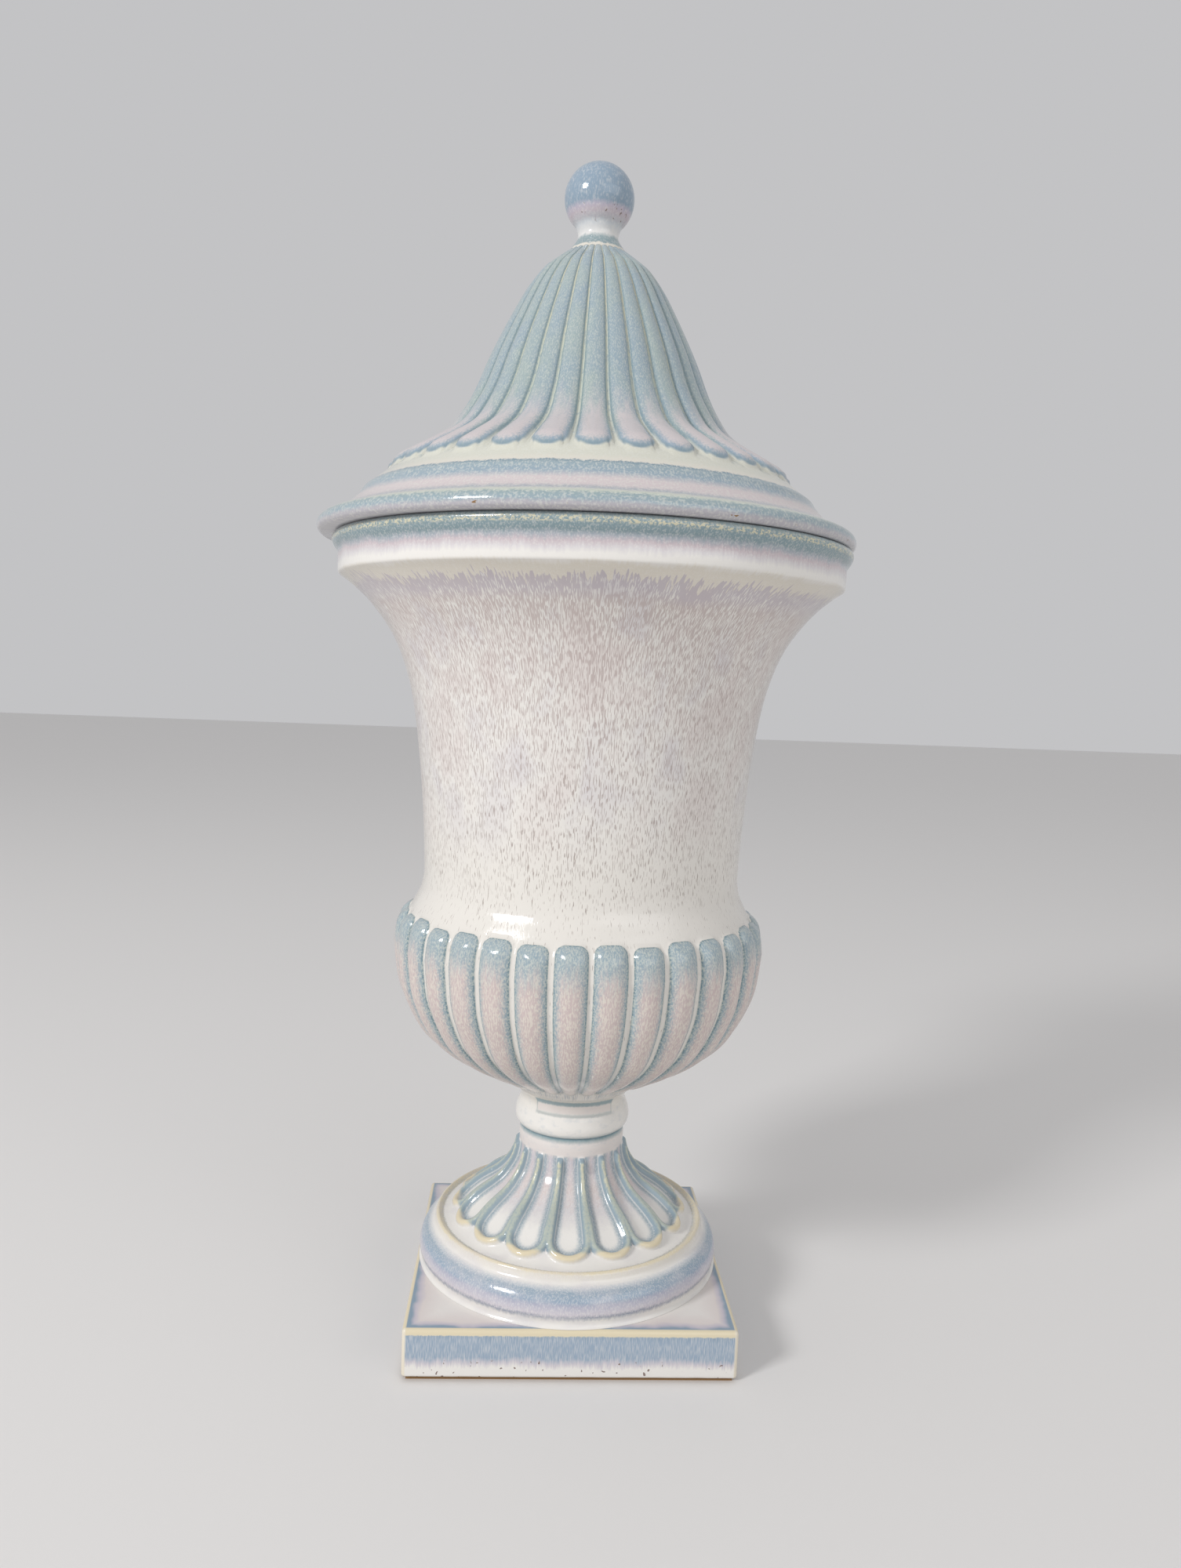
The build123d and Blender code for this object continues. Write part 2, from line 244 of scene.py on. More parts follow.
def oval(middle_z, wide, deep, from_r, to_r, steps):
    """Rows down the lower half of an oval bowl, from one radius to another."""
    first, last = math.acos(from_r / wide), math.acos(to_r / wide)
    rows = []
    for step in range(steps + 1):
        angle = first + (last - first) * step / steps
        rows.append((wide * math.cos(angle), middle_z - deep * math.sin(angle)))
    return rows


def turn_profile(name, rows, columns, shift, start):
    """Draws a profile point by point, spins it round the upright axis and closes it."""
    out = Vector((math.cos(math.radians(start)), math.sin(math.radians(start)), 0))
    axis = Vector((shift * MM, 0, 0))
    places = [axis + out * radius * MM + Vector((0, 0, height * MM)) for radius, height in rows]
    bpy.ops.object.select_all(action="DESELECT")
    bpy.ops.mesh.primitive_plane_add(size=MM, location=places[0])
    piece = bpy.context.active_object
    piece.name = name
    piece.data.name = name
    bpy.ops.object.transform_apply(location=True, rotation=True, scale=True)
    bpy.ops.object.mode_set(mode="EDIT")
    bpy.ops.mesh.select_mode(type="VERT")
    bpy.ops.mesh.select_all(action="SELECT")
    bpy.ops.mesh.merge(type="CENTER")
    for here, there in zip(places, places[1:]):
        bpy.ops.mesh.extrude_region_move(TRANSFORM_OT_translate={"value": there - here})
    bpy.ops.mesh.select_all(action="SELECT")
    bpy.ops.mesh.spin(
        steps=columns, angle=2 * math.pi, use_auto_merge=True, center=axis, axis=(0, 0, 1))
    bpy.ops.mesh.select_all(action="SELECT")
    bpy.ops.mesh.remove_doubles(threshold=MERGE_REACH)
    bpy.ops.mesh.normals_make_consistent(inside=False)
    bpy.ops.object.mode_set(mode="OBJECT")
    bpy.ops.object.shade_smooth()
    return piece


def pick_faces(piece, wanted):
    """Selects, in edit mode, only the faces that are wanted."""
    bpy.ops.mesh.select_mode(type="FACE")
    bpy.ops.mesh.select_all(action="DESELECT")
    bpy.ops.object.mode_set(mode="OBJECT")
    for face in piece.data.polygons:
        face.select = wanted(face)
    bpy.ops.object.mode_set(mode="EDIT")


def polar(piece, shift):
    """Radius, turn from the front in degrees, and height of each vertex, in millimetres."""
    flat = np.zeros(len(piece.data.vertices) * 3)
    piece.data.vertices.foreach_get("co", flat)
    place = flat.reshape(-1, 3) / MM
    x, y = place[:, 0] - shift, place[:, 1]
    turn = np.degrees(np.arctan2(y, x)) - FRONT
    return np.maximum(np.hypot(x, y), AXIS_RADIUS), turn, place[:, 2]


def arc_length(rows, height):
    """Length up an outer profile at each height."""
    radii, heights = np.array(rows).T
    length = np.concatenate([[0.0], np.cumsum(np.hypot(np.diff(radii), np.diff(heights)))])
    return np.interp(height, heights, length)


def on_skin(rows, radius, height):
    """Whether each vertex lies on an outer profile, not on the wall behind it."""
    radii, heights = np.array(rows).T
    near = np.abs(radius - np.interp(height, heights, radii)) < SKIN_REACH
    return near & (height > heights[0] - END_REACH) & (height < heights[-1] + END_REACH)


def across_lobe(turn, radius, count, phase):
    """Distance of each vertex from the middle of its lobe, and half the lobe's pitch."""
    step = 360 / count
    offset = (turn - phase + step / 2) % step - step / 2
    return np.radians(offset) * radius, math.pi * radius / count


def hand(turn, count, phase):
    """Small unevenness of handwork, from minus one to one, the same all over one lobe."""
    swing = 2.4
    return np.sin(swing * (np.rint((turn - phase) * count / 360) % count))


def finger(across, along, half, corner):
    """Depth inside a finger with a rounded end, measured in from its edge."""
    side = np.abs(across) - (half - corner)
    end = corner - along
    return corner - np.hypot(np.maximum(side, 0), np.maximum(end, 0)) - np.minimum(np.maximum(side, end), 0)


def dome(share):
    """Rounded rise from nothing at an edge to one at the middle."""
    return np.sqrt(np.clip(1 - (1 - np.clip(share, 0, 1)) ** 2, 0, 1))


def ease(value, low, high):
    """Smooth step from nothing at low to one at high."""
    t = np.clip((value - low) / (high - low), 0, 1)
    return t * t * (3 - 2 * t)


def raise_relief(piece, group_name, weights, height):
    """Paints the weights on a vertex group and pushes the skin out by them along its normals."""
    group = piece.vertex_groups.new(name=group_name)
    levels = np.rint(weights * RELIEF_LEVELS)
    for level in np.unique(levels[levels > 0]):
        group.add(np.nonzero(levels == level)[0].tolist(), level / RELIEF_LEVELS, "REPLACE")
    bpy.context.view_layer.objects.active = piece
    push = piece.modifiers.new(group_name, "DISPLACE")
    push.vertex_group = group_name
    push.mid_level = 0.0
    push.strength = height
    bpy.ops.object.modifier_apply(modifier=push.name)
    piece.vertex_groups.remove(piece.vertex_groups[group_name])


def keep(piece, name, values):
    """Keeps a value per vertex for the glaze to read."""
    attribute = piece.data.attributes.new(name, "FLOAT", "POINT")
    attribute.data.foreach_set("value", np.asarray(values, dtype=np.float32))


def seat(piece, node, body, glaze):
    """Gives a piece its glaze, lets it ride on its body and stand for the plain solid."""
    piece.data.materials.clear()
    piece.data.materials.append(glaze)
    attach(piece, body)
    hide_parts(node)


def start_glaze(name):
    """New glazed material: its shader, and where each point lies in millimetres."""
    glaze = bpy.data.materials.new(name)
    glaze.use_nodes = True
    tree = glaze.node_tree
    shader = tree.nodes["Principled BSDF"]
    # A fired glaze is a skin of glass, so it mirrors the lamps as glass does
    shader.inputs["IOR"].default_value = 1.5
    where = add(tree, "ShaderNodeTexCoord").outputs["Object"]
    place = add(tree, VECTOR_MATH, {0: where, "Scale": 1 / MM}, operation="SCALE").outputs[0]
    return glaze, tree, shader, place


def grain(tree, place, wide, long, detail=2.0):
    """Noise drawn out down the piece, as running glaze is: so many millimetres wide and long."""
    shrink = (1 / wide, 1 / wide, 1 / long)
    drawn = add(tree, VECTOR_MATH, {0: place, 1: shrink}, operation="MULTIPLY").outputs[0]
    settings = {"Vector": drawn, "Scale": 1.0, "Detail": detail, "Roughness": 0.6}
    return add(tree, "ShaderNodeTexNoise", settings).outputs[0]


def unroll(tree, place, radius):
    """Place on a skin unrolled to one radius, so that noise drawn on it runs down a flare."""
    course = add(tree, ATTRIBUTE, attribute_name="course").outputs["Fac"]
    flat = add(tree, VECTOR_MATH, {0: place, 1: (1, 1, 0)}, operation="MULTIPLY").outputs[0]
    unit = add(tree, VECTOR_MATH, {0: flat}, operation="NORMALIZE").outputs[0]
    girth = add(tree, VECTOR_MATH, {0: unit, "Scale": radius}, operation="SCALE").outputs[0]
    rise = add(tree, "ShaderNodeCombineXYZ", {2: course}).outputs[0]
    return add(tree, VECTOR_MATH, {0: girth, 1: rise}, operation="ADD").outputs[0]


def ragged(tree, value, noise, reach):
    """A value moved to and fro by noise, so that an edge drawn on it runs ragged."""
    moved = add(tree, RANGE, {0: noise, 3: -reach / 2, 4: reach / 2}, clamp=False).outputs[0]
    return add(tree, MATH, {0: value, 1: moved}, operation="ADD").outputs[0]


def bands(tree, value, low, high, marks):
    """Colours that follow one another along a value, each at its own mark."""
    share = add(tree, RANGE, {0: value, 1: low, 2: high}).outputs[0]
    stops = [((mark - low) / (high - low), colour) for mark, colour in marks]
    return add(tree, "ShaderNodeValToRGB", {0: share}, stops=stops).outputs[0]


def coats(tree, ground, layers):
    """Lays each glaze in turn over the ground, where its mask lets it lie."""
    colour = ground
    for over, mask in layers:
        colour = add(tree, "ShaderNodeMix", {0: mask, 6: colour, 7: over}, data_type="RGBA").outputs[2]
    return colour


def fire(tree, shader, colour, texture):
    """Gives the shader its colour, and the uneven skin and gloss of a fired glaze."""
    tree.links.new(colour, shader.inputs["Base Color"])
    bump = add(tree, "ShaderNodeBump", {"Strength": 0.15, "Distance": 0.3 * MM, "Height": texture})
    tree.links.new(bump.outputs[0], shader.inputs["Normal"])
    gloss = add(tree, RANGE, {0: texture, 1: 0.3, 2: 0.7, 3: 0.06, 4: 0.16}).outputs[0]
    tree.links.new(gloss, shader.inputs["Roughness"])
    return gloss


def tint(first, second, share):
    """Colour between two of the glaze's colours."""
    return tuple(a + (b - a) * share for a, b in zip(first, second))


def body_glaze(c):
    """Opaque drip glaze: pink lobes edged blue, a cream shoulder and white runs down a warm neck."""
    # Two glazes that ran into each other: a white skin broken by fine dashes, glossy all over
    glaze, tree, shader, place = start_glaze("drip glaze on earthenware, body")
    z = add(tree, "ShaderNodeSeparateXYZ", {0: place}).outputs["Z"]
    lobe, depth, from_top, inner_wall = (
        add(tree, ATTRIBUTE, attribute_name=name).outputs["Fac"]
        for name in ("lobe", "depth", "from_top", "inner"))
    wall = unroll(tree, place, BODY_GIRTH)
    run = grain(tree, wall, 1.4, 9.0, 3.0)
    tooth = grain(tree, wall, 0.75, 5.5, 0.0)
    dash = grain(tree, wall, 0.3, 2.7, 0.0)
    stipple = grain(tree, wall, 0.5, 0.9, 1.0)
    fleck = grain(tree, wall, 0.8, 0.8)
    cloud = grain(tree, place, 22.0, 34.0)

    edge = ragged(tree, ragged(tree, z, tooth, 9.0), cloud, 7.0)
    mauve = tint(tint(c.lavender, c.pink, 0.25), c.brown, 0.15)
    ground = bands(tree, ragged(tree, z, cloud, 9.0), 190, 330, [
        (195, c.brown), (240, tint(c.brown, c.pink, 0.3)), (272, tint(c.brown, c.pink, 0.5)),
        (296, tint(c.brown, c.pink, 0.6)), (308, tint(c.brown, c.pink, 0.65)), (312, mauve), (317, mauve)])
    chalk = tint(c.white, c.brown, 0.07)
    veil = bands(tree, cloud, 0, 1, [
        (0.36, tint(chalk, c.lavender, 0.3)), (0.5, chalk), (0.64, tint(chalk, c.pink, 0.3))])
    low = add(tree, RANGE, {0: z, 1: 240, 2: 200}, **STEP).outputs[0]
    cover = coats(tree, veil, [(tint(chalk, c.cream, 0.25), low)])
    limit = bands(tree, ragged(tree, z, cloud, 26.0), 184, 330, [
        (184, 0.24), (198, 0.34), (222, 0.38), (245, 0.42), (268, 0.455), (288, 0.49), (303, 0.53),
        (310, 0.57), (316, 0.74)])
    over = add(tree, MATH, {0: limit, 1: dash}, operation="SUBTRACT").outputs[0]
    shown = add(tree, RANGE, {0: over, 1: -0.03, 2: 0.07, 4: 0.72}, **STEP).outputs[0]
    rolled = bands(tree, ragged(tree, ragged(tree, z, tooth, 1.8), cloud, 4.0), 314, 338, [
        (314, tint(c.cream, c.pink, 0.1)), (320, c.cream), (321.6, c.white), (323.6, c.white),
        (325.6, tint(c.white, c.lavender, 0.4)), (327.8, tint(c.lavender, c.pink, 0.6)),
        (329.8, tint(c.lavender, c.teal, 0.6)), (331.4, tint(c.teal, c.ink, 0.45)),
        (333.6, tint(c.teal, c.ink, 0.45)), (335.6, tint(c.teal, c.ink, 0.1)), (338, c.teal)])
    salt = add(tree, RANGE, {0: stipple, 1: 0.45, 2: 0.7, 4: 0.3}, **STEP).outputs[0]
    rim = coats(tree, rolled, [(c.white, salt)])
    on_rim = add(tree, RANGE, {0: edge, 1: 315.7, 2: 316.5}, **STEP).outputs[0]
    line = bands(tree, z, 330, 340, [(333.2, 0.0), (334.0, 1.0), (335.4, 1.0), (336.0, 0.0)])
    high = add(tree, RANGE, {0: fleck, 1: 0.47, 2: 0.58, 4: 0.9}, **STEP).outputs[0]
    gold = add(tree, MATH, {0: line, 1: high}, operation="MULTIPLY").outputs[0]

    rise = ragged(tree, lobe, stipple, 0.5)
    inner = add(tree, RANGE, {0: rise, 1: 0.5, 2: 0.95}, **STEP).outputs[0]
    hem = ragged(tree, from_top, run, 16.0)
    below = add(tree, RANGE, {0: hem, 1: 6, 2: 20}, **STEP).outputs[0]
    centre = add(tree, MATH, {0: inner, 1: below}, operation="MULTIPLY").outputs[0]
    streak = grain(tree, wall, 0.5, 1.7, 1.0)
    mottle = add(tree, RANGE, {0: streak, 1: 0.42, 2: 0.62, 4: 0.7}, **STEP).outputs[0]
    warm = bands(tree, from_top, 0, 110, [
        (10, tint(c.pink, c.brown, 0.1)), (45, tint(c.pink, c.brown, 0.14)), (80, c.pink),
        (100, c.cream)])
    pink = coats(tree, warm, [(c.cream, mottle)])
    grey = tint(c.teal, c.blue, 0.4)
    rind = bands(tree, depth, 0, 4, [
        (0.0, tint(c.cream, c.ink, 0.6)), (0.35, c.ink), (0.9, grey), (2.4, grey)])
    pale = add(tree, RANGE, {0: stipple, 1: 0.35, 2: 0.7, 4: 0.6}, **STEP).outputs[0]
    skin = coats(tree, rind, [(tint(c.moss, c.white, 0.3), pale), (pink, centre)])
    drift = ragged(tree, from_top, run, 30.0)
    gully = add(tree, RANGE, {0: drift, 1: 50, 2: 95, 4: 0.8}, **STEP).outputs[0]
    on_lobe = add(tree, RANGE, {0: depth, 1: -0.1, 2: 0.3}, **STEP).outputs[0]
    stem = add(tree, RANGE, {0: z, 1: 104.5, 2: 107.5}, **STEP).outputs[0]
    pooled = add(tree, MATH, {0: gully, 1: stem}, operation="MULTIPLY").outputs[0]
    drop = add(tree, RANGE, {0: tooth, 1: 0.52, 2: 0.62, 4: 0.6}, **STEP).outputs[0]
    root = bands(tree, z, 98, 112, [(100.5, 0.0), (102.0, 1.0), (107.0, 1.0), (109.0, 0.0)])
    dripped = add(tree, MATH, {0: drop, 1: root}, operation="MULTIPLY").outputs[0]
    neck = coats(tree, cover, [(ground, shown)])
    colour = coats(tree, neck, [
        (rim, on_rim), (tint(c.yellow, c.moss, 0.4), gold), (c.blue, pooled),
        (tint(c.blue, c.brown, 0.3), dripped), (skin, on_lobe), (c.cream, inner_wall)])
    fire(tree, shader, colour, dash)
    return glaze


def lid_glaze(c):
    """Drip glaze on the lid: blue reeds with pale grooves and pink feet, banded mouldings below."""
    # The glaze thins blue over the reeds and pools pale between them, partly painted light, so each reed
    # shows
    glaze, tree, shader, place = start_glaze("drip glaze on earthenware, lid")
    z = add(tree, "ShaderNodeSeparateXYZ", {0: place}).outputs["Z"]
    reed, along, depth = (
        add(tree, ATTRIBUTE, attribute_name=name).outputs["Fac"]
        for name in ("reed", "along", "depth"))
    wall = unroll(tree, place, LID_GIRTH)
    run = grain(tree, wall, 2.0, 9.0, 3.0)
    stipple = grain(tree, wall, 0.5, 1.0, 1.0)
    fleck = grain(tree, wall, 0.9, 2.4)
    cloud = grain(tree, place, 12.0, 30.0)

    roll = tint(tint(c.lavender, c.pink, 0.4), c.teal, 0.35)
    cove = tint(tint(c.pink, c.lavender, 0.3), c.white, 0.2)
    # The moss line on the ridge above the edge roll is partly glaze broken thin there, partly a painted
    # highlight
    banded = bands(tree, ragged(tree, ragged(tree, z, run, 2.0), stipple, 1.0), 335, 366, [
        (337, roll), (339.2, roll), (340.6, tint(c.blue, c.teal, 0.6)), (342.8, c.teal), (343.8, c.moss),
        (344.7, c.moss), (345.6, tint(c.lavender, c.teal, 0.6)), (347.2, cove), (350, cove),
        (352.8, tint(c.blue, c.teal, 0.4)), (356.0, tint(c.blue, c.teal, 0.7)),
        (356.9, tint(c.ink, c.blue, 0.3)), (357.6, c.cream), (360, tint(c.moss, c.cream, 0.5)),
        (366, tint(c.moss, c.cream, 0.5))])
    salt = add(tree, RANGE, {0: stipple, 1: 0.42, 2: 0.7, 4: 0.45}, **STEP).outputs[0]
    mould = coats(tree, banded, [(tint(c.white, c.moss, 0.4), salt)])
    side = ragged(tree, reed, fleck, 0.25)
    blue = bands(tree, cloud, 0, 1, [
        (0.35, tint(c.teal, c.moss, 0.15)), (0.62, tint(c.teal, c.blue, 0.45))])
    skin = coats(tree, blue, [(tint(c.moss, c.white, 0.3), salt)])
    hem = ragged(tree, along, run, 30.0)
    foot = add(tree, RANGE, {0: hem, 1: 48, 2: 18}, **STEP).outputs[0]
    rise = ragged(tree, reed, stipple, 0.5)
    crest = add(tree, RANGE, {0: rise, 1: 0.45, 2: 0.95, 4: 0.9}, **STEP).outputs[0]
    blush = add(tree, MATH, {0: foot, 1: crest}, operation="MULTIPLY").outputs[0]
    border = ragged(tree, depth, stipple, 2.0)
    outline = add(tree, RANGE, {0: border, 1: 3.2, 2: 0.4, 4: 0.75}, **STEP).outputs[0]
    toe = add(tree, RANGE, {0: along, 1: 22.0, 2: 8.0}, **STEP).outputs[0]
    tip = add(tree, MATH, {0: outline, 1: toe}, operation="MULTIPLY").outputs[0]
    # Painted shade: thin dark lines down both flanks of every reed, beside its groove
    painted_flank_shade = bands(tree, side, 0, 1, [(0.1, 0.0), (0.22, 0.6), (0.4, 0.5), (0.62, 0.0)])
    # The pale line along each groove is partly pooled glaze and partly painted light on the groove floor
    trough = bands(tree, z, 360, 460, [
        (364, tint(c.moss, c.cream, 0.5)), (395, tint(c.teal, c.moss, 0.9)),
        (455, tint(c.moss, c.yellow, 0.5))])
    pooling = {0: fleck, 1: 0.38, 2: 0.5, 3: 0.25, 4: 0.95}
    broken = add(tree, RANGE, pooling, **STEP).outputs[0]
    hollow = bands(tree, side, 0, 1, [(0.06, 1.0), (0.2, 0.0)])
    groove_glaze_and_light = add(tree, MATH, {0: hollow, 1: broken}, operation="MULTIPLY").outputs[0]
    flush = tint(tint(c.pink, c.lavender, 0.3), c.white, 0.25)
    reeded = coats(tree, skin, [
        (flush, blush), (c.blue, tip), (tint(c.teal, c.ink, 0.7), painted_flank_shade), (trough, groove_glaze_and_light)])
    on_reed = add(tree, RANGE, {0: along, 1: 0.0, 2: 0.8}, **STEP).outputs[0]
    standing = add(tree, RANGE, {0: depth, 1: -0.3, 2: 0.9}, **STEP).outputs[0]
    upper = add(tree, RANGE, {0: along, 1: 9.0, 2: 18.0}, **STEP).outputs[0]
    either = add(tree, MATH, {0: standing, 1: upper}, operation="MAXIMUM").outputs[0]
    shown = add(tree, MATH, {0: on_reed, 1: either}, operation="MULTIPLY").outputs[0]
    chip = grain(tree, place, 5.0, 2.0)
    worn = bands(tree, z, 330, 350, [(337.6, 0.0), (338.2, 1.0), (339.4, 1.0), (340.2, 0.0)])
    loss = add(tree, RANGE, {0: chip, 1: 0.69, 2: 0.72}, **STEP).outputs[0]
    chipped = add(tree, MATH, {0: worn, 1: loss}, operation="MULTIPLY").outputs[0]
    fire(tree, shader, coats(tree, mould, [(reeded, shown), (c.clay, chipped)]), stipple)
    return glaze


def foot_glaze(c):
    """Drip glaze on the foot: blue torus, yellow arrises, pink tongues with white ends, white collar."""
    # Thin over ribs and torus, thick in the tongues, so the relief is drawn in blue on white
    glaze, tree, shader, place = start_glaze("drip glaze on earthenware, foot")
    z = add(tree, "ShaderNodeSeparateXYZ", {0: place}).outputs["Z"]
    flat = add(tree, VECTOR_MATH, {0: place, 1: (1, 1, 0)}, operation="MULTIPLY").outputs[0]
    radius = add(tree, VECTOR_MATH, {0: flat}, operation="LENGTH").outputs["Value"]
    rib, depth, along, tablet = (
        add(tree, ATTRIBUTE, attribute_name=name).outputs["Fac"]
        for name in ("rib", "depth", "along", "tablet"))
    run = grain(tree, place, 1.4, 4.0)
    fleck = grain(tree, place, 1.0, 1.6)
    stipple = grain(tree, place, 0.5, 1.2, 1.0)

    up = add(tree, MATH, {0: z, 1: radius}, operation="SUBTRACT").outputs[0]
    gilt = tint(c.yellow, c.cream, 0.35)
    # The cream from the torus up to the gilt ridge is partly its glaze, partly painted shade on the ridge's
    # lower face
    ringed = bands(tree, ragged(tree, ragged(tree, up, run, 1.6), stipple, 0.8), -46, 0, [
        (-45, c.white), (-41.6, c.white), (-40.4, tint(c.lavender, c.ink, 0.5)),
        (-39.2, tint(c.lavender, c.white, 0.3)), (-35.5, tint(c.lavender, c.blue, 0.4)), (-33.5, c.blue),
        (-28.4, tint(c.blue, c.teal, 0.3)), (-25.8, tint(c.blue, c.white, 0.6)), (-24, c.white),
        (-19.6, c.cream), (-18.8, gilt), (-17.2, gilt), (-16.5, tint(c.cream, c.ink, 0.3)), (-15.8, c.white),
        (0, c.white)])
    salt = add(tree, RANGE, {0: stipple, 1: 0.42, 2: 0.7, 4: 0.35}, **STEP).outputs[0]
    cloud = grain(tree, place, 16.0, 7.0)
    patch = add(tree, RANGE, {0: cloud, 1: 0.45, 2: 0.68, 4: 0.32}, **STEP).outputs[0]
    mould = coats(tree, ringed, [(tint(c.lavender, c.white, 0.4), patch), (c.white, salt)])
    banded = bands(tree, ragged(tree, z, fleck, 0.8), 66, 102, [
        (66, tint(c.pink, c.white, 0.4)), (79.6, tint(c.pink, c.white, 0.7)), (81.4, c.teal), (82.2, c.ink),
        (83.2, tint(c.teal, c.white, 0.5)), (84.6, c.white), (91, c.white), (102, c.cream)])
    haze = grain(tree, place, 4.0, 2.5)
    smudge = add(tree, RANGE, {0: haze, 1: 0.5, 2: 0.75, 4: 0.3}, **STEP).outputs[0]
    collar = coats(tree, banded, [(tint(c.blue, c.white, 0.4), smudge)])
    high = add(tree, RANGE, {0: z, 1: 73.5, 2: 75.0}, **STEP).outputs[0]
    rim = bands(tree, ragged(tree, tablet, fleck, 0.9), -2, 3, [
        (-0.9, 0.0), (-0.2, 0.9), (0.5, 0.9), (1.3, 0.0)])
    fade = add(tree, RANGE, {0: z, 1: 93.5, 2: 97.0, 3: 0.45}, **STEP).outputs[0]
    lined = add(tree, MATH, {0: rim, 1: fade}, operation="MULTIPLY").outputs[0]
    within = add(tree, RANGE, {0: tablet, 1: 0.5, 2: 1.5, 4: 0.6}, **STEP).outputs[0]

    inside = add(tree, RANGE, {0: depth, 1: -0.4, 2: 0.6}, **STEP).outputs[0]
    deep = ragged(tree, depth, fleck, 1.2)
    floor = bands(tree, ragged(tree, along, run, 8.0), 0, 60, [
        (12, c.white), (18, c.white), (27, tint(c.white, c.lavender, 0.4)),
        (37, tint(c.white, c.pink, 0.7)), (47, tint(c.white, c.lavender, 0.7)),
        (54, tint(c.white, c.pink, 0.7))])
    pool = add(tree, RANGE, {0: deep, 1: 0.2, 2: 3.2}, **STEP).outputs[0]
    flush = add(tree, RANGE, {0: run, 1: 0.45, 2: 0.65, 4: 0.55}, **STEP).outputs[0]
    upper = add(tree, RANGE, {0: along, 1: 22, 2: 34}, **STEP).outputs[0]
    stain = add(tree, MATH, {0: flush, 1: upper}, operation="MULTIPLY").outputs[0]
    stained = coats(tree, floor, [(tint(c.pink, c.white, 0.1), stain)])
    tongue = coats(tree, tint(c.teal, c.blue, 0.4), [(stained, pool), (c.white, salt)])
    ribbed = bands(tree, ragged(tree, rib, fleck, 0.6), 0, 1, [
        (0.1, tint(c.teal, c.blue, 0.5)), (0.6, tint(c.teal, c.blue, 0.4)),
        (1.0, tint(c.teal, c.moss, 0.4))])
    crest = bands(tree, ragged(tree, rib, fleck, 0.6), 0, 1, [(0.85, 0.0), (1.0, 0.9)])
    high_up = add(tree, RANGE, {0: along, 1: 24, 2: 42, 3: 0.3}, **STEP).outputs[0]
    rubbed = add(tree, MATH, {0: crest, 1: high_up}, operation="MULTIPLY").outputs[0]
    bar = coats(tree, ribbed, [(tint(c.moss, c.yellow, 0.4), rubbed)])
    brow = bands(tree, ragged(tree, rib, fleck, 0.5), 0, 1, [
        (0.1, c.white), (0.5, c.cream), (0.85, gilt)])
    petal = add(tree, RANGE, {0: along, 1: 7.4, 2: 9.4}, **STEP).outputs[0]
    raised = coats(tree, brow, [(bar, petal)])
    standing = add(tree, RANGE, {0: rib, 1: 0.02, 2: 0.25}, **STEP).outputs[0]
    bell = coats(tree, mould, [(raised, standing), (tongue, inside)])
    colour = coats(tree, bell, [
        (collar, high), (tint(c.teal, c.ink, 0.3), lined), (tint(c.pink, c.white, 0.4), within)])
    fire(tree, shader, colour, fleck)
    return glaze


